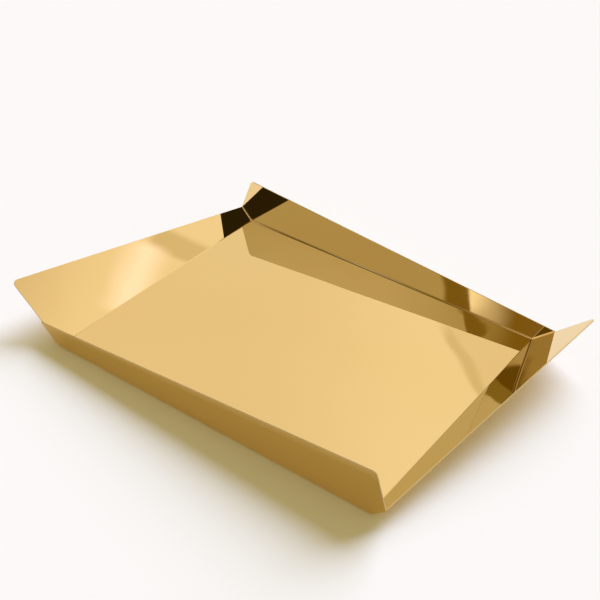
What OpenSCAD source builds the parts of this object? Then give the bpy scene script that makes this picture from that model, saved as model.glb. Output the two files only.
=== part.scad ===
// Serving tray folded from one sheet of metal. The floor is flat and each of the four
// walls rises along its length to a raised tip, so the tips turn round the tray like a pinwheel.
// +Z is up, X runs along the front and back walls, and the origin is under the floor's centre.

/* [Floor] */
// Length of the floor, from the inner face of one side wall to the other
floor_l = 352; // [250:1:500]
// Width of the floor, from the inner face of the front wall to that of the back wall
floor_w = 300; // [200:1:450]

/* [Sheet] */
// Thickness of the sheet
sheet_t = 1; // [0.6:0.1:2]
// Inner radius of every bend
bend_r = 1.5; // [0.5:0.1:4]
// Gap left in each corner seam
seam_gap = 0.4; // [0.05:0.05:0.6]
// Gap between the heel of a side wall and the bend that it goes round
heel_gap = 0.1; // [0.05:0.05:0.3]
// Radius that rounds each raised tip
tip_r = 5; // [1:0.5:8]

/* [Front and back walls] */
// Angle between the floor and the wall, where 90 is upright
long_angle = 88; // [70:1:90]
// Height of the wall's low end above the floor
long_low_h = 18.5; // [12:0.5:30]
// Length of the wall up its slope, from the fold to the raised tip
long_tip_len = 49; // [40:1:80]
// How far the raised tip reaches past the floor's corner
long_tip_out = 3.5; // [0:0.5:10]

/* [Side walls] */
// Angle between the floor and the wall, where 90 is upright
side_angle = 42; // [30:1:70]
// Height of the wall's low end above the floor
side_low_h = 13; // [8:0.5:20]
// Length of the wall up its slope, from the fold to the raised tip
side_tip_len = 76; // [50:1:110]
// How far the raised tip reaches past the floor's corner
side_tip_out = 2.5; // [0:0.5:6]

/* [Hidden] */
$fn = 96;

// Distance from the sharp line of a fold to where its bend begins, on the floor and up the wall
long_setback = setback(long_angle);
side_setback = setback(side_angle);
// Flat part of the floor, between the bends
flat_l = floor_l - 2 * side_setback;
flat_w = floor_w - 2 * long_setback;
// The bends of the front and back walls run on past the side bends, to close the floor's corners.
// Below this distance up its slope a side wall is cut back, so that its heels clear them.
heel_up = side_setback + sheet_t * tan(side_angle);
long_bend_l = floor_l + 2 * heel_up * cos(side_angle);

function setback(angle) = bend_r * tan(angle / 2);
// How far a wall leans outwards by a height above the floor
function lean(angle, height) = height * cos(angle) / sin(angle);
function unit(v) = v / norm(v);

// Half length of a front or back wall at a distance up its slope. Its end covers the cut edge
// of the side wall, out to that wall's outer face.
function long_reach(up) =
    floor_l / 2 + lean(side_angle, up * sin(long_angle)) + sheet_t / sin(side_angle);
// Half length of a side wall at a distance up its slope. Its end butts against the inner face of
// the front or back wall, and clears it through the whole thickness of the sheet.
function side_reach(up) =
    floor_w / 2 + lean(long_angle, up * sin(side_angle) - sheet_t * cos(side_angle)) - seam_gap;

// Outline of a wall laid flat. x runs along the fold towards the raised tip, y up the slope.
// Both ends start with the heel's points, from the fold upwards. The end below the tip follows
// the corner seam from there to the shoulder, then leads to the tip.
module wall_outline(heel, low, shoulder, tip) {
    to_low = unit(low - tip);
    to_shoulder = unit(shoulder - tip);
    half_corner = acos(to_low * to_shoulder) / 2;
    to_centre = unit(to_low + to_shoulder) * tip_r / sin(half_corner);
    difference() {
        polygon(concat(
            [for (point = heel) [-point[0], point[1]]],
            [low, tip, shoulder],
            [for (place = [len(heel) - 1:-1:0]) heel[place]]
        ));
        // Rounds the tip by cutting away all that lies past a circle in the corner
        translate(tip + to_centre)
            rotate(atan2(-to_centre[1], -to_centre[0]))
                difference() {
                    translate([tip_r * sin(half_corner), -tip_r])
                        square([norm(to_centre), 2 * tip_r]);
                    circle(r = tip_r);
                }
    }
}

module long_outline() {
    low_up = long_low_h / sin(long_angle);
    // The seam ends at the top corner of the side wall's low end, on that wall's outer face
    shoulder_up = (side_low_h - sheet_t * cos(side_angle)) / sin(long_angle);
    wall_outline(
        heel = [[long_reach(long_setback), long_setback]],
        low = [-long_reach(low_up), low_up],
        shoulder = [long_reach(shoulder_up), shoulder_up],
        tip = [floor_l / 2 + long_tip_out, long_tip_len]
    );
}

module side_outline() {
    heel_x = flat_w / 2 - heel_gap;
    low_up = side_low_h / sin(side_angle);
    shoulder_up = long_low_h / sin(side_angle);
    wall_outline(
        heel = [[heel_x, side_setback], [heel_x, heel_up], [side_reach(heel_up), heel_up]],
        low = [-side_reach(low_up), low_up],
        shoulder = [side_reach(shoulder_up), shoulder_up],
        tip = [floor_w / 2 + side_tip_out, side_tip_len]
    );
}

// Stands a flat outline up as a wall whose fold lies along X and which leans towards -Y
module stand_up(angle)
    rotate([180 - angle, 0, 0])
        linear_extrude(height = sheet_t)
            children();

// Quarter-pipe of sheet along X that joins the floor to a wall standing at the angle
module bend(angle, length)
    translate([-length / 2, setback(angle), bend_r])
        rotate([0, 90, 0])
            rotate([0, 0, -angle])
                rotate_extrude(angle = angle)
                    translate([bend_r, 0])
                        square([sheet_t, length]);

// Carries a piece made along X to the fold of one wall: 0 front, 90 right, 180 back, 270 left
module at_long_fold(turn)
    rotate([0, 0, turn])
        translate([0, -floor_w / 2, sheet_t])
            children();

module at_side_fold(turn)
    rotate([0, 0, turn])
        translate([0, -floor_l / 2, sheet_t])
            children();

module gold() color([0.88, 0.73, 0.45]) children();

module base_panel()
    gold()
        translate([-flat_l / 2, -flat_w / 2, 0])
            cube([flat_l, flat_w, sheet_t]);

module front_bend() gold() at_long_fold(0) bend(long_angle, long_bend_l);
module front_wall() gold() at_long_fold(0) stand_up(long_angle) long_outline();
module right_bend() gold() at_side_fold(90) bend(side_angle, flat_w);
module right_wall() gold() at_side_fold(90) stand_up(side_angle) side_outline();
module back_bend() gold() at_long_fold(180) bend(long_angle, long_bend_l);
module back_wall() gold() at_long_fold(180) stand_up(long_angle) long_outline();
module left_bend() gold() at_side_fold(270) bend(side_angle, flat_w);
module left_wall() gold() at_side_fold(270) stand_up(side_angle) side_outline();

base_panel();
front_bend();
front_wall();
right_bend();
right_wall();
back_bend();
back_wall();
left_bend();
left_wall();
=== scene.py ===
import math

import bpy
from mathutils import Matrix, Vector


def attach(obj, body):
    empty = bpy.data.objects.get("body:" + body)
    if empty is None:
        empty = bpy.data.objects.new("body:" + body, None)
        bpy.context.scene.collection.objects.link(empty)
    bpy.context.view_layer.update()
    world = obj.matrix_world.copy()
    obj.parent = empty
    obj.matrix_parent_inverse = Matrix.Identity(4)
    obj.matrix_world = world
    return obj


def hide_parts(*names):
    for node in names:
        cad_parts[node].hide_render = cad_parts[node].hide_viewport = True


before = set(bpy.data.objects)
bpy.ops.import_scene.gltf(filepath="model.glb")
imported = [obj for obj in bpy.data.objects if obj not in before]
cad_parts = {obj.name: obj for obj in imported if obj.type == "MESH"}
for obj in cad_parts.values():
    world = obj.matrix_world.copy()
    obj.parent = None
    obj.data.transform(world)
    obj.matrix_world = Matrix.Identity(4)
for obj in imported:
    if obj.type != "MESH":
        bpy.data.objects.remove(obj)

# Serving tray folded from one sheet of polished, gold-coloured metal. Metres and radians.
scene = bpy.context.scene
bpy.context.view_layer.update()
print("packed frame loaded")


photoCamera = {
    "azimuth": math.radians(33.686),  # round the tray from its front towards its right side
    "elevation": math.radians(35.158),
    "roll": math.radians(3.336),
    "distance": 1.0977,
    "target": Vector((-0.0280, 0.0364, 0.0186)),
    "lens": 65.84,
    "sensor": 36.0,
}


def makeCamera(look):
    data = bpy.data.cameras.new("photoCamera")
    data.lens = look["lens"]
    data.sensor_width = look["sensor"]
    camera = bpy.data.objects.new("photoCamera", data)
    scene.collection.objects.link(camera)
    level = math.cos(look["elevation"])
    back = Vector((
        math.sin(look["azimuth"]) * level,
        -math.cos(look["azimuth"]) * level,
        math.sin(look["elevation"]),
    ))
    right = Vector((0, 0, 1)).cross(back).normalized()
    up = back.cross(right)
    turn = Matrix.Rotation(look["roll"], 3, back)
    place = Matrix((turn @ right, turn @ up, back)).transposed().to_4x4()
    place.translation = look["target"] + back * look["distance"]
    camera.matrix_world = place
    scene.camera = camera


makeCamera(photoCamera)
scene.view_settings.view_transform = "Standard"
print("camera set at the photograph's view")


nodeStep = 200  # from one node to the next in the editor
mergeGap = 0.000002  # points closer together than this are one


# Node helpers: a socket passed as an input is linked, anything else is set as its value.
def feed(tree, socket, value):
    if isinstance(value, bpy.types.NodeSocket):
        tree.links.new(value, socket)
    else:
        socket.default_value = value


def addNode(tree, kind, inputs=None, **settings):
    node = tree.nodes.new(kind)
    node.location = (nodeStep * len(tree.nodes), 0)
    for key, value in settings.items():
        setattr(node, key, value)
    for key, value in (inputs or {}).items():
        feed(tree, node.inputs[key], value)
    return node


def calc(tree, operation, first, second=None, clamp=False):
    node = addNode(tree, "ShaderNodeMath", {0: first}, operation=operation, use_clamp=clamp)
    if second is not None:
        feed(tree, node.inputs[1], second)
    return node.outputs[0]


def ramp(tree, value, low, high, toLow=0.0, toHigh=1.0):
    node = addNode(
        tree, "ShaderNodeMapRange",
        {"Value": value, "From Min": low, "From Max": high, "To Min": toLow, "To Max": toHigh},
        interpolation_type="SMOOTHSTEP",
    )
    return node.outputs["Result"]


polishedGold = {
    "color": (0.865, 0.615, 0.27, 1.0),
    "palerColor": (0.875, 0.630, 0.29, 1.0),
    "toneScale": 4.0,
    "toneDetail": 2.0,
    "toneRange": (0.35, 0.65),  # of the noise, from the one colour to the other
    "roughness": (0.008, 0.022),
    "polishScale": 60.0,
    "polishDetail": 6.0,
    "polishRange": (0.3, 0.7),
    "polishStretch": (1.0, 8.0, 8.0),  # the buffing ran along X
    "waveScale": 7.0,
    "waveHeight": 0.00012,
    "rippleScale": 20.0,
    "rippleHeight": 0.0001,
    "edgeColor": (0.60, 0.44, 0.22, 1.0),
    "edgeRoughness": 0.28,
}


def makeGold(name, look):
    material = bpy.data.materials.new(name)
    material.use_nodes = True
    tree = material.node_tree
    surface = tree.nodes["Principled BSDF"]
    place = addNode(tree, "ShaderNodeTexCoord").outputs["Object"]
    # broad, faint change of tone
    tone = addNode(
        tree, "ShaderNodeTexNoise",
        {"Vector": place, "Scale": look["toneScale"], "Detail": look["toneDetail"]},
    ).outputs["Fac"]
    metal = addNode(
        tree, "ShaderNodeMix", {0: ramp(tree, tone, *look["toneRange"])}, data_type="RGBA",
    )
    metal.inputs[6].default_value = look["color"]
    metal.inputs[7].default_value = look["palerColor"]
    # buffing marks change how sharp the mirror is
    stretched = addNode(
        tree, "ShaderNodeMapping", {"Vector": place, "Scale": look["polishStretch"]},
    ).outputs["Vector"]
    polish = addNode(
        tree, "ShaderNodeTexNoise",
        {"Vector": stretched, "Scale": look["polishScale"], "Detail": look["polishDetail"]},
    ).outputs["Fac"]
    mirrorRoughness = ramp(tree, polish, *look["polishRange"], *look["roughness"])
    # the cut edge of the sheet is only brushed
    cut = addNode(
        tree, "ShaderNodeAttribute", attribute_type="GEOMETRY", attribute_name="cutEdge",
    ).outputs["Fac"]
    colour = addNode(
        tree, "ShaderNodeMix", {0: cut, 6: metal.outputs[2], 7: look["edgeColor"]}, data_type="RGBA",
    ).outputs[2]
    roughness = addNode(
        tree, "ShaderNodeMix", {0: cut, 2: mirrorRoughness, 3: look["edgeRoughness"]},
    ).outputs[0]
    # sheet metal is never quite flat: long waves and short ripples bend the reflections a little
    heights = []
    for scale, height in (
        (look["waveScale"], look["waveHeight"]), (look["rippleScale"], look["rippleHeight"]),
    ):
        noise = addNode(
            tree, "ShaderNodeTexNoise", {"Vector": place, "Scale": scale, "Detail": 0.0},
        ).outputs["Fac"]
        heights.append(calc(tree, "MULTIPLY", noise, height / look["waveHeight"]))
    waves = addNode(
        tree, "ShaderNodeBump",
        {"Height": calc(tree, "ADD", *heights), "Strength": 1.0, "Distance": look["waveHeight"]},
    ).outputs["Normal"]
    feed(tree, surface.inputs["Base Color"], colour)
    feed(tree, surface.inputs["Roughness"], roughness)
    feed(tree, surface.inputs["Normal"], waves)
    surface.inputs["Metallic"].default_value = 1.0
    return material


goldMaterial = makeGold("polishedGold", polishedGold)
print("gold finish made")


# The blank of the tray: sizes of the sheet and of its two kinds of wall
sheet = {
    "thickness": 0.001,
    "bendRadius": 0.0015,
    "seamGap": 0.0004,
    "heelGap": 0.0001,  # between a side wall's heel and the bend that it goes round
    "tipRadius": 0.005,
    "cornerRadius": 0.0006,
    "cornerSteps": 8,
    "arrisRadius": 0.0002,  # the edges are deburred
    "arrisSteps": 3,
    "arrisAngle": math.radians(60),  # edges turning more than this are rounded
    "bendSteps": 24,
}
floorPanel = {"length": 0.352, "width": 0.300}
longWall = {
    "angle": math.radians(88),
    "lowHeight": 0.0185,
    "tipLength": 0.049,
    "tipOut": 0.0035,
}
sideWall = {
    "angle": math.radians(42),
    "lowHeight": 0.013,
    "tipLength": 0.076,
    "tipOut": 0.0025,
}


def setback(angle):
    return sheet["bendRadius"] * math.tan(angle / 2)


def lean(angle, height):
    return height / math.tan(angle)


# Half length of a front or back wall at a distance up its slope: it covers the side wall's cut edge
def longReach(up):
    outerFace = sheet["thickness"] / math.sin(sideWall["angle"])
    rise = up * math.sin(longWall["angle"])
    return floorPanel["length"] / 2 + lean(sideWall["angle"], rise) + outerFace


# Half length of a side wall: it butts against the inner face of the front or back wall
def sideReach(up):
    rise = up * math.sin(sideWall["angle"]) - sheet["thickness"] * math.cos(sideWall["angle"])
    return floorPanel["width"] / 2 + lean(longWall["angle"], rise) - sheet["seamGap"]


# Outline of a flat wall. x runs along the fold to the raised tip, y up from the end of the bend.
# Both ends start with the heel's points, given as half length and distance up the slope.
def wallOutline(wall, reach, lowUp, shoulderUp, tipReach, bendLength, heel):
    foot = setback(wall["angle"])
    heel = [(x, up - foot, 0) for x, up in heel]
    return [
        (bendLength / 2, 0, 0),
        *heel,
        (reach(shoulderUp), shoulderUp - foot, sheet["cornerRadius"]),
        (tipReach, wall["tipLength"] - foot, sheet["tipRadius"]),
        (-reach(lowUp), lowUp - foot, sheet["cornerRadius"]),
        *[(-x, y, rounding) for x, y, rounding in reversed(heel)],
        (-bendLength / 2, 0, 0),
    ]


def foldSheetTree():
    tree = bpy.data.node_groups.new("foldSheet", "GeometryNodeTree")
    tree.is_modifier = True
    sockets = tree.interface
    sockets.new_socket("Outline", in_out="INPUT", socket_type="NodeSocketGeometry")
    for label in (
        "Bend Length", "Fold Angle", "Bend Radius", "Sheet Thickness", "Fold Line", "Turn",
    ):
        sockets.new_socket(label, in_out="INPUT", socket_type="NodeSocketFloat")
    sockets.new_socket("Bend Steps", in_out="INPUT", socket_type="NodeSocketInt")
    sockets.new_socket("Corner Steps", in_out="INPUT", socket_type="NodeSocketInt")
    sockets.new_socket("Finish", in_out="INPUT", socket_type="NodeSocketMaterial")
    sockets.new_socket("Sheet", in_out="OUTPUT", socket_type="NodeSocketGeometry")
    given = addNode(tree, "NodeGroupInput").outputs
    angle = given["Fold Angle"]
    radius = given["Bend Radius"]
    thickness = given["Sheet Thickness"]

    def compute(operation, first, second=None, clamp=False):
        return calc(tree, operation, first, second, clamp)

    # the bend takes up this length of the flat blank
    bendFlat = compute("MULTIPLY", angle, compute("ADD", radius, compute("MULTIPLY", thickness, 0.5)))
    bendOffset = addNode(tree, "ShaderNodeCombineXYZ", {"Y": compute("MULTIPLY", bendFlat, 0.5)})
    wallOffset = addNode(tree, "ShaderNodeCombineXYZ", {"Y": bendFlat})
    # flat wall: its outline with rounded corners, filled
    loop = addNode(tree, "GeometryNodeMeshToCurve", {"Mesh": given["Outline"]})
    cornerRadius = addNode(
        tree, "GeometryNodeInputNamedAttribute", {"Name": "cornerRadius"}, data_type="FLOAT",
    )
    rounded = addNode(
        tree, "GeometryNodeFilletCurve",
        {
            "Curve": loop.outputs["Curve"],
            "Radius": cornerRadius.outputs["Attribute"],
            "Count": given["Corner Steps"],
        },
        mode="POLY",
    )
    wallFace = addNode(
        tree, "GeometryNodeFillCurve", {"Curve": rounded.outputs["Curve"]}, mode="NGONS",
    )
    wallPlaced = addNode(
        tree, "GeometryNodeTransform",
        {"Geometry": wallFace.outputs["Mesh"], "Translation": wallOffset.outputs["Vector"]},
    )
    # flat bend: a ladder of narrow faces
    ladder = addNode(
        tree, "GeometryNodeMeshGrid",
        {
            "Size X": given["Bend Length"],
            "Size Y": bendFlat,
            "Vertices X": 2,
            "Vertices Y": compute("ADD", given["Bend Steps"], 1),
        },
    )
    ladderPlaced = addNode(
        tree, "GeometryNodeTransform",
        {"Geometry": ladder.outputs["Mesh"], "Translation": bendOffset.outputs["Vector"]},
    )
    ladderSmooth = addNode(
        tree, "GeometryNodeSetShadeSmooth",
        {"Geometry": ladderPlaced.outputs["Geometry"], "Shade Smooth": True},
    )
    wallFlat = addNode(
        tree, "GeometryNodeSetShadeSmooth",
        {"Geometry": wallPlaced.outputs["Geometry"], "Shade Smooth": False},
    )
    joined = addNode(tree, "GeometryNodeJoinGeometry")
    feed(tree, joined.inputs[0], ladderSmooth.outputs["Geometry"])
    feed(tree, joined.inputs[0], wallFlat.outputs["Geometry"])
    blank = addNode(
        tree, "GeometryNodeMergeByDistance",
        {"Geometry": joined.outputs[0], "Distance": mergeGap},
    )
    # thickness, closed by the turned-over blank
    thick = addNode(
        tree, "GeometryNodeExtrudeMesh",
        {
            "Mesh": blank.outputs["Geometry"],
            "Offset": (0, 0, 1),
            "Offset Scale": thickness,
            "Individual": False,
        },
        mode="FACES",
    )
    marked = addNode(
        tree, "GeometryNodeStoreNamedAttribute",
        {"Geometry": thick.outputs["Mesh"], "Name": "cutEdge", "Value": thick.outputs["Side"]},
        data_type="FLOAT", domain="FACE",
    )
    turnedOver = addNode(tree, "GeometryNodeFlipFaces", {"Mesh": blank.outputs["Geometry"]})
    shell = addNode(tree, "GeometryNodeJoinGeometry")
    feed(tree, shell.inputs[0], marked.outputs["Geometry"])
    feed(tree, shell.inputs[0], turnedOver.outputs["Mesh"])
    closed = addNode(
        tree, "GeometryNodeMergeByDistance",
        {"Geometry": shell.outputs[0], "Distance": mergeGap},
    )
    # the edges of both broad faces get a small rounding, apart from the seam with the floor
    edge = addNode(tree, "GeometryNodeInputMeshEdgeVertices")
    fromEnd = addNode(tree, "ShaderNodeSeparateXYZ", {0: edge.outputs["Position 1"]}).outputs
    toEnd = addNode(tree, "ShaderNodeSeparateXYZ", {0: edge.outputs["Position 2"]}).outputs
    edgeAngle = addNode(tree, "GeometryNodeInputMeshEdgeAngle").outputs["Unsigned Angle"]
    isArris = compute("GREATER_THAN", edgeAngle, sheet["arrisAngle"])
    isLevel = compute(
        "LESS_THAN",
        compute("ABSOLUTE", compute("SUBTRACT", fromEnd["Z"], toEnd["Z"])),
        mergeGap,
    )
    isClear = compute("GREATER_THAN", compute("ADD", fromEnd["Y"], toEnd["Y"]), mergeGap)
    weighted = addNode(
        tree, "GeometryNodeStoreNamedAttribute",
        {
            "Geometry": closed.outputs["Geometry"],
            "Name": "bevel_weight_edge",
            "Value": compute("MULTIPLY", isArris, compute("MULTIPLY", isLevel, isClear)),
        },
        data_type="FLOAT", domain="EDGE",
    )
    # fold: round the bend's centre first, then straight up the wall's slope
    spot = addNode(
        tree, "ShaderNodeSeparateXYZ",
        {0: addNode(tree, "GeometryNodeInputPosition").outputs["Position"]},
    ).outputs
    share = compute("DIVIDE", spot["Y"], bendFlat, clamp=True)
    turned = compute("MULTIPLY", share, angle)
    sine = compute("SINE", turned)
    cosine = compute("COSINE", turned)
    ring = compute("ADD", radius, spot["Z"])
    upSlope = compute("MAXIMUM", compute("SUBTRACT", spot["Y"], bendFlat), 0.0)
    start = compute("MULTIPLY", radius, compute("TANGENT", compute("MULTIPLY", angle, 0.5)))
    outward = compute("ADD", compute("MULTIPLY", ring, sine), compute("MULTIPLY", upSlope, cosine))
    upward = compute("SUBTRACT", compute("MULTIPLY", upSlope, sine), compute("MULTIPLY", ring, cosine))
    folded = addNode(
        tree, "GeometryNodeSetPosition",
        {
            "Geometry": weighted.outputs["Geometry"],
            "Position": addNode(
                tree, "ShaderNodeCombineXYZ",
                {
                    "X": spot["X"],
                    "Y": compute("SUBTRACT", compute("SUBTRACT", start, outward), given["Fold Line"]),
                    "Z": compute("ADD", compute("ADD", radius, upward), thickness),
                },
            ).outputs["Vector"],
        },
    )
    spin = addNode(tree, "ShaderNodeCombineXYZ", {"Z": given["Turn"]}).outputs["Vector"]
    placed = addNode(
        tree, "GeometryNodeTransform",
        {"Geometry": folded.outputs["Geometry"], "Rotation": spin},
    )
    real = addNode(
        tree, "GeometryNodeRealizeInstances", {"Geometry": placed.outputs["Geometry"]},
    )
    finished = addNode(
        tree, "GeometryNodeSetMaterial",
        {"Geometry": real.outputs["Geometry"], "Material": given["Finish"]},
    )
    result = addNode(tree, "NodeGroupOutput")
    feed(tree, result.inputs["Sheet"], finished.outputs["Geometry"])
    return tree


def setInputs(modifier, values):
    identifiers = {
        item.name: item.identifier
        for item in modifier.node_group.interface.items_tree
        if item.item_type == "SOCKET" and item.in_out == "INPUT"
    }
    for label, value in values.items():
        modifier[identifiers[label]] = value


# A plain mesh of what the modifiers make, in place of the object that carries them
def makePlain(source):
    bpy.context.view_layer.update()
    ready = source.evaluated_get(bpy.context.evaluated_depsgraph_get())
    mesh = bpy.data.meshes.new_from_object(ready)
    source.modifiers.clear()
    old = source.data
    source.data = mesh
    bpy.data.meshes.remove(old)
    mesh.name = source.name


def foldedWall(name, wall, outline, bendLength, foldLine, turn, nodes):
    mesh = bpy.data.meshes.new(name + "Outline")
    count = len(outline)
    edges = [(place, (place + 1) % count) for place in range(count)]
    mesh.from_pydata([(x, y, 0) for x, y, rounding in outline], edges, [])
    radii = mesh.attributes.new("cornerRadius", "FLOAT", "POINT")
    for place, (x, y, rounding) in enumerate(outline):
        radii.data[place].value = rounding
    piece = bpy.data.objects.new(name, mesh)
    scene.collection.objects.link(piece)
    fold = piece.modifiers.new("fold", "NODES")
    fold.node_group = foldTree
    setInputs(fold, {
        "Bend Length": bendLength,
        "Fold Angle": wall["angle"],
        "Bend Radius": sheet["bendRadius"],
        "Sheet Thickness": sheet["thickness"],
        "Fold Line": foldLine,
        "Turn": math.radians(turn),
        "Bend Steps": sheet["bendSteps"],
        "Corner Steps": sheet["cornerSteps"],
        "Finish": goldMaterial,
    })
    arris = piece.modifiers.new("arris", "BEVEL")
    arris.limit_method = "WEIGHT"
    arris.width = sheet["arrisRadius"]
    arris.segments = sheet["arrisSteps"]
    arris.use_clamp_overlap = False
    makePlain(piece)
    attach(piece, "root")
    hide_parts(*nodes)
    print(name, "folded,", len(piece.data.polygons), "faces")


foldTree = foldSheetTree()
longFoot = setback(longWall["angle"])
flatWidth = floorPanel["width"] - 2 * longFoot
# the long bends run on past the side bends, under the heels of the side walls
heelUp = setback(sideWall["angle"]) + sheet["thickness"] * math.tan(sideWall["angle"])
longBend = floorPanel["length"] + 2 * heelUp * math.cos(sideWall["angle"])
sideHeel = flatWidth / 2 - sheet["heelGap"]
sideOuterDrop = sheet["thickness"] * math.cos(sideWall["angle"])
longOutline = wallOutline(
    longWall, longReach,
    lowUp=longWall["lowHeight"] / math.sin(longWall["angle"]),
    shoulderUp=(sideWall["lowHeight"] - sideOuterDrop) / math.sin(longWall["angle"]),
    tipReach=floorPanel["length"] / 2 + longWall["tipOut"],
    bendLength=longBend,
    heel=[(longReach(longFoot), longFoot)],
)
sideOutline = wallOutline(
    sideWall, sideReach,
    lowUp=sideWall["lowHeight"] / math.sin(sideWall["angle"]),
    shoulderUp=longWall["lowHeight"] / math.sin(sideWall["angle"]),
    tipReach=floorPanel["width"] / 2 + sideWall["tipOut"],
    bendLength=flatWidth,
    heel=[(sideHeel, heelUp), (sideReach(heelUp), heelUp)],
)
for side, turn in (("front", 0), ("back", 180)):
    foldedWall(
        side + "_fold", longWall, longOutline, longBend, floorPanel["width"] / 2, turn,
        (side + "_bend", side + "_wall"),
    )
for side, turn in (("right", 90), ("left", 270)):
    foldedWall(
        side + "_fold", sideWall, sideOutline, flatWidth, floorPanel["length"] / 2, turn,
        (side + "_bend", side + "_wall"),
    )

# The corner seams are closed from inside by a fine bead of solder, polished with the sheet
seamBead = {
    "leg": 0.0013,  # how far it reaches over each wall
    "sink": 0.00002,  # below the walls' faces, so that the faces don't meet
    "foot": -0.0003,  # height of its lower end from the floor's upper face, so it starts in the bends
    "below": 0.0004,  # how far its upper end stays under the wall's low end
    "steps": 16,
}


def beadTree():
    tree = bpy.data.node_groups.new("seamBead", "GeometryNodeTree")
    tree.is_modifier = True
    sockets = tree.interface
    sockets.new_socket("Section", in_out="INPUT", socket_type="NodeSocketGeometry")
    sockets.new_socket("Run", in_out="INPUT", socket_type="NodeSocketVector")
    sockets.new_socket("Finish", in_out="INPUT", socket_type="NodeSocketMaterial")
    sockets.new_socket("Bead", in_out="OUTPUT", socket_type="NodeSocketGeometry")
    given = addNode(tree, "NodeGroupInput").outputs
    run = addNode(
        tree, "GeometryNodeExtrudeMesh",
        {"Mesh": given["Section"], "Offset": given["Run"], "Offset Scale": 1.0, "Individual": False},
        mode="FACES",
    )
    lowerEnd = addNode(tree, "GeometryNodeFlipFaces", {"Mesh": given["Section"]})
    joined = addNode(tree, "GeometryNodeJoinGeometry")
    feed(tree, joined.inputs[0], run.outputs["Mesh"])
    feed(tree, joined.inputs[0], lowerEnd.outputs["Mesh"])
    closed = addNode(
        tree, "GeometryNodeMergeByDistance", {"Geometry": joined.outputs[0], "Distance": mergeGap},
    )
    real = addNode(
        tree, "GeometryNodeRealizeInstances", {"Geometry": closed.outputs["Geometry"]},
    )
    finished = addNode(
        tree, "GeometryNodeSetMaterial",
        {"Geometry": real.outputs["Geometry"], "Material": given["Finish"]},
    )
    result = addNode(tree, "NodeGroupOutput")
    feed(tree, result.inputs["Bead"], finished.outputs["Geometry"])
    return tree


# xSide and ySide pick the corner, topHeight is that of the lower of its two walls
def closeSeam(name, xSide, ySide, topHeight, look):
    def corner(height):
        return Vector((
            xSide * (floorPanel["length"] / 2 + lean(sideWall["angle"], height)),
            ySide * (floorPanel["width"] / 2 + lean(longWall["angle"], height)),
            sheet["thickness"] + height,
        ))

    foot = corner(look["foot"])
    run = corner(topHeight - look["below"]) - foot
    longNormal = Vector((0, -ySide * math.sin(longWall["angle"]), math.cos(longWall["angle"])))
    sideNormal = Vector((-xSide * math.sin(sideWall["angle"]), 0, math.cos(sideWall["angle"])))
    alongLong = longNormal.cross(run).normalized()
    if alongLong.x * xSide > 0:
        alongLong.negate()
    alongSide = sideNormal.cross(run).normalized()
    if alongSide.y * ySide > 0:
        alongSide.negate()
    foot -= (longNormal + sideNormal) * look["sink"]
    halfAngle = alongLong.angle(alongSide) / 2
    middle = (alongLong + alongSide).normalized()
    centre = foot + middle * look["leg"] / math.cos(halfAngle)
    fromLong = foot + alongLong * look["leg"] - centre
    fromSide = foot + alongSide * look["leg"] - centre
    sweep = fromLong.angle(fromSide)
    section = [foot]
    for place in range(look["steps"] + 1):
        turned = sweep * place / look["steps"]
        spoke = fromLong * math.sin(sweep - turned) + fromSide * math.sin(turned)
        section.append(centre + spoke / math.sin(sweep))
    ring = list(range(len(section)))
    if alongLong.cross(alongSide).dot(run) < 0:
        ring.reverse()
    mesh = bpy.data.meshes.new(name + "Section")
    mesh.from_pydata(section, [], [ring])
    piece = bpy.data.objects.new(name, mesh)
    scene.collection.objects.link(piece)
    bead = piece.modifiers.new("bead", "NODES")
    bead.node_group = seamTree
    setInputs(bead, {"Run": run, "Finish": goldMaterial})
    makePlain(piece)
    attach(piece, "root")
    print(name, "closed,", len(piece.data.polygons), "faces")


seamTree = beadTree()
for end, ySide in (("front", -1), ("back", 1)):
    closeSeam(end + "_tip_seam", -ySide, ySide, sideWall["lowHeight"], seamBead)
    closeSeam(end + "_low_seam", ySide, ySide, longWall["lowHeight"], seamBead)

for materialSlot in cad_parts["base_panel"].material_slots:
    materialSlot.material = goldMaterial
print("tray built")


table = {
    "size": 8.0,
    "drop": 0.0003,  # just under the tray, so that the faces don't meet
    "margin": 0.001,  # of table under the rim of the floor; the rest is open, to show the underside
    "color": (0.94, 0.94, 0.94, 1.0),
    "roughness": 0.9,
}


def makeTable(look):
    material = bpy.data.materials.new("paleTable")
    material.use_nodes = True
    tree = material.node_tree
    surface = tree.nodes["Principled BSDF"]
    surface.inputs["Base Color"].default_value = look["color"]
    surface.inputs["Roughness"].default_value = look["roughness"]
    surface.inputs["Specular IOR Level"].default_value = 0.0
    # seen from below, the table lets the tray's underside show
    under = addNode(tree, "ShaderNodeNewGeometry").outputs["Backfacing"]
    clear = addNode(tree, "ShaderNodeBsdfTransparent").outputs[0]
    seen = addNode(tree, "ShaderNodeMixShader", {0: under, 1: surface.outputs[0], 2: clear})
    feed(tree, tree.nodes["Material Output"].inputs["Surface"], seen.outputs[0])
    half = look["size"] / 2
    openX = floorPanel["length"] / 2 - look["margin"]
    openY = floorPanel["width"] / 2 - look["margin"]
    mesh = bpy.data.meshes.new("table")
    corners = [
        (x * side, y * end)
        for x, y in ((half, half), (openX, openY))
        for side, end in ((-1, -1), (1, -1), (1, 1), (-1, 1))
    ]
    faces = [(place, (place + 1) % 4, (place + 1) % 4 + 4, place + 4) for place in range(4)]
    mesh.from_pydata([(x, y, -look["drop"]) for x, y in corners], [], faces)
    mesh.materials.append(material)
    plane = bpy.data.objects.new("table", mesh)
    scene.collection.objects.link(plane)


makeTable(table)


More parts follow.
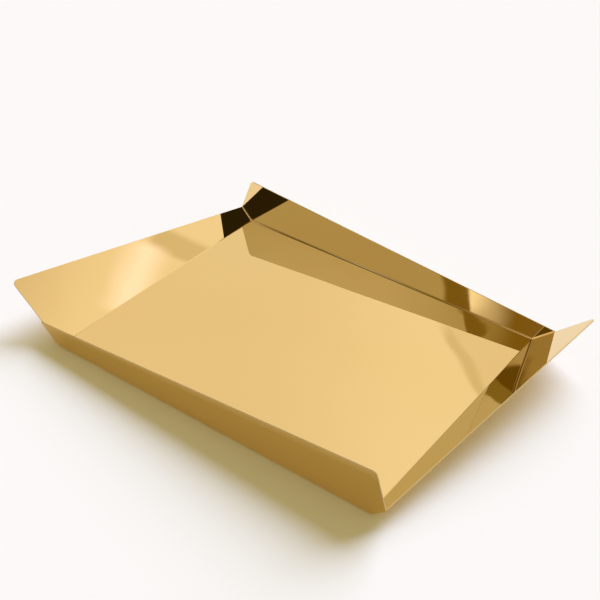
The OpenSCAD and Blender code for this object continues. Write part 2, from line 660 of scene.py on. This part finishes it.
# The studio as the polished metal shows it, in degrees: azimuth from the tray's back (0) towards
# its right (90). Each card lies over those before it, and "turn" and "bow" bend its sides.
studio = {
    "seen": (1.0, 1.0, 1.0),  # plain white behind the table
    "backdrop": (1.02, 0.98, 0.88),
    "fill": (0.47, 0.38, 0.16),  # what lights the table
    "cards": [
        # pale wall behind, dimmer towards the left and high up at the right
        {"centre": (287, 30), "half": (42.5, 60), "soft": (8, 10), "color": (0.92, 0.86, 0.73)},
        {"centre": (349.5, 40), "half": (15.7, 60), "soft": (6, 10), "color": (1.02, 0.98, 0.88)},
        {"centre": (42, 48), "half": (14, 5), "soft": (3, 2.5), "color": (0.84, 0.77, 0.64)},
        # dim room round the camera, with a dark doorway, and its ceiling and curtain at the left
        {"centre": (160, 39), "half": (41, 36), "soft": (3, 6), "color": (0.28, 0.24, 0.12)},
        {"centre": (148, 36), "half": (14, 14), "soft": (4, 4), "color": (0.028, 0.027, 0.012)},
        {"centre": (255, 63.5), "half": (64, 15.5), "soft": (6, 3), "color": (0.20, 0.16, 0.05)},
        {"centre": (235, 42), "half": (15, 30), "soft": (3, 4), "color": (0.12, 0.09, 0.02)},
        # low down: the room's dim foot, its floor at the left and the wall's foot behind
        {"centre": (200, 9), "half": (7, 10), "soft": (2, 3), "color": (0.26, 0.22, 0.05)},
        {"centre": (341, 5), "half": (9, 7), "soft": (3, 2), "color": (0.30, 0.27, 0.13)},
        {"centre": (220, 8), "half": (15, 11), "soft": (2, 3), "color": (0.42, 0.46, 0.34)},
        {"centre": (314, 11), "half": (10, 7), "soft": (2, 2), "color": (0.63, 0.64, 0.45)},
        # front left: a lamp's bright edge, a dark gap and a pale card, brighter in its middle
        {"centre": (209, 33), "half": (11, 17), "soft": (1.5, 3), "color": (0.26, 0.22, 0.05)},
        {"centre": (203, 29.4), "half": (2.2, 2.2), "soft": (1.6, 0.7), "color": (1.38, 1.80, 3.3)},
        {"centre": (202, 26), "half": (2.5, 3.1), "soft": (0.5, 0.3), "color": (0.26, 0.22, 0.05)},
        {"centre": (206.3, 40), "half": (3.6, 6), "soft": (2, 1), "color": (0.55, 0.63, 0.60)},
        {
            "centre": (211.4, 33), "half": (8.2, 13), "soft": (0.3, 3), "turn": -3.3,
            "color": (0.55, 0.625, 0.68),
        },
        {"centre": (213.6, 40), "half": (6.5, 5), "soft": (3.6, 3), "color": (0.66, 0.785, 1.04)},
        # the gap's edges bend where the back wall shows them, low down, and again higher up
        {
            "centre": (203.38, 34.9), "half": (0.87, 3.5), "soft": (0.25, 0.3), "turn": -4.1,
            "color": (0.25, 0.22, 0.055),
        },
        {
            "centre": (203.18, 30.15), "half": (0.57, 1.6), "soft": (0.28, 0.3), "turn": 18,
            "color": (0.25, 0.22, 0.055),
        },
        {
            "centre": (202.52, 30.4), "half": (0.46, 1.3), "soft": (0.07, 0.3), "turn": 21.3,
            "color": (0.25, 0.22, 0.055),
        },
        {
            "centre": (203.7, 38.99), "half": (0.38, 1.1), "soft": (0.08, 0.3), "turn": 14,
            "color": (0.25, 0.22, 0.055),
        },
        {
            "centre": (203.11, 39.08), "half": (0.4, 0.65), "soft": (0.08, 0.1), "bow": 2.25,
            "color": (0.25, 0.22, 0.055),
        },
        # stands at the foot of that card
        {"centre": (219.8, 15.2), "half": (0.65, 1.2), "soft": (0.25, 0.3), "color": (0.57, 0.72, 0.86)},
        {
            "centre": (221, 14.4), "half": (0.5, 1.6), "soft": (0.12, 0.3), "turn": -10,
            "color": (0.17, 0.15, 0.02),
        },
        {"centre": (222, 14.5), "half": (0.5, 1.6), "soft": (0.08, 0.3), "color": (0.30, 0.33, 0.14)},
        {"centre": (225.5, 14.6), "half": (3, 1.6), "soft": (0.08, 0.3), "color": (0.71, 0.97, 1.5)},
        {"centre": (220.3, 9.4), "half": (1.5, 1.3), "soft": (0.35, 0.3), "color": (0.19, 0.17, 0.02)},
        {"centre": (213.8, 11.5), "half": (1.6, 1.2), "soft": (0.4, 0.3), "color": (0.13, 0.12, 0.03)},
        # back right: a dim stand beside a glow
        {
            "centre": (37, 36.8), "half": (0.81, 2.4), "soft": (0.25, 0.35), "bow": -0.03,
            "color": (0.80, 0.735, 0.575),
        },
        {"centre": (40, 39.17), "half": (2.53, 0.78), "soft": (0.35, 0.83), "color": (1.33, 1.29, 1.6)},
        # back left: the corner of a dimmer sheet, with its dark edge
        {
            "centre": (340.55, 36.45), "half": (3.04, 4.5), "soft": (0.3, 0.3), "turn": -44.5, "bow": 0.017,
            "color": (0.92, 0.86, 0.73),
        },
        {
            "centre": (338.5, 38.5), "half": (0.3, 4), "soft": (0.2, 0.8), "turn": -47, "bow": 0.008,
            "color": (0.81, 0.745, 0.585),
        },
    ],
}


def cardTree():
    tree = bpy.data.node_groups.new("studioCard", "ShaderNodeTree")
    for label in (
        "Azimuth", "Elevation", "Centre Azimuth", "Centre Elevation", "Half Width", "Half Height",
        "Soft Width", "Soft Height", "Turn", "Bow",
    ):
        tree.interface.new_socket(label, in_out="INPUT", socket_type="NodeSocketFloat")
    tree.interface.new_socket("Mask", in_out="OUTPUT", socket_type="NodeSocketFloat")
    given = addNode(tree, "NodeGroupInput").outputs
    apart = calc(tree, "SUBTRACT", given["Azimuth"], given["Centre Azimuth"])
    halfTurn = 180.0
    aside = calc(tree, "WRAP", apart, halfTurn)
    aside.node.inputs[2].default_value = -halfTurn
    above = calc(tree, "SUBTRACT", given["Elevation"], given["Centre Elevation"])
    turn = calc(tree, "RADIANS", given["Turn"])
    cosine = calc(tree, "COSINE", turn)
    sine = calc(tree, "SINE", turn)
    across = calc(
        tree, "ADD", calc(tree, "MULTIPLY", aside, cosine), calc(tree, "MULTIPLY", above, sine),
    )
    along = calc(
        tree, "SUBTRACT", calc(tree, "MULTIPLY", above, cosine), calc(tree, "MULTIPLY", aside, sine),
    )
    bowed = calc(tree, "MULTIPLY", given["Bow"], calc(tree, "MULTIPLY", along, along))
    across = calc(tree, "SUBTRACT", across, bowed)
    masks = []
    for value, half, soft in (
        (across, given["Half Width"], given["Soft Width"]),
        (along, given["Half Height"], given["Soft Height"]),
    ):
        outer = calc(tree, "ADD", half, soft)
        inner = calc(tree, "SUBTRACT", half, soft)
        masks.append(ramp(tree, calc(tree, "ABSOLUTE", value), inner, outer, 1.0, 0.0))
    result = addNode(tree, "NodeGroupOutput")
    feed(tree, result.inputs["Mask"], calc(tree, "MULTIPLY", *masks))
    return tree


def makeWorld(look):
    world = bpy.data.worlds.new("studio")
    scene.world = world
    world.use_nodes = True
    tree = world.node_tree
    background = tree.nodes["Background"]
    way = addNode(tree, "ShaderNodeTexCoord").outputs["Generated"]
    way = addNode(tree, "ShaderNodeSeparateXYZ", {0: way}).outputs
    azimuth = calc(tree, "DEGREES", calc(tree, "ARCTAN2", way["X"], way["Y"]))
    elevation = calc(tree, "DEGREES", calc(tree, "ARCSINE", way["Z"]))
    group = cardTree()
    shown = (*look["backdrop"], 1.0)
    for card in look["cards"]:
        mask = addNode(
            tree, "ShaderNodeGroup",
            {
                "Azimuth": azimuth,
                "Elevation": elevation,
                "Centre Azimuth": card["centre"][0],
                "Centre Elevation": card["centre"][1],
                "Half Width": card["half"][0],
                "Half Height": card["half"][1],
                "Soft Width": card["soft"][0],
                "Soft Height": card["soft"][1],
                "Turn": card.get("turn", 0),
                "Bow": card.get("bow", 0),
            },
            node_tree=group,
        ).outputs["Mask"]
        shown = addNode(
            tree, "ShaderNodeMix", {0: mask, 6: shown, 7: (*card["color"], 1.0)}, data_type="RGBA",
        ).outputs[2]
    ray = addNode(tree, "ShaderNodeLightPath").outputs
    mirrored = calc(tree, "ADD", ray["Is Glossy Ray"], ray["Is Transmission Ray"], clamp=True)
    seen = addNode(
        tree, "ShaderNodeMix", {0: mirrored, 6: (*look["fill"], 1.0), 7: shown},
        data_type="RGBA",
    ).outputs[2]
    seen = addNode(
        tree, "ShaderNodeMix", {0: ray["Is Camera Ray"], 6: seen, 7: (*look["seen"], 1.0)},
        data_type="RGBA",
    ).outputs[2]
    feed(tree, background.inputs["Color"], seen)


makeWorld(studio)


lamp = {
    "azimuth": math.radians(-5),
    "elevation": math.radians(34),
    "strength": 3.35,
    "color": (0.95, 1.06, 1.40),
    "angle": math.radians(45),
}


def makeLamp(look):
    data = bpy.data.lights.new("backLamp", "SUN")
    data.energy = look["strength"]
    data.color = look["color"]
    data.angle = look["angle"]
    light = bpy.data.objects.new("backLamp", data)
    scene.collection.objects.link(light)
    level = math.cos(look["elevation"])
    toLamp = Vector((
        math.sin(look["azimuth"]) * level,
        math.cos(look["azimuth"]) * level,
        math.sin(look["elevation"]),
    ))
    light.matrix_world = toLamp.to_track_quat("Z", "Y").to_matrix().to_4x4()
    light.visible_glossy = False


makeLamp(lamp)
print("table, studio and lamp made")
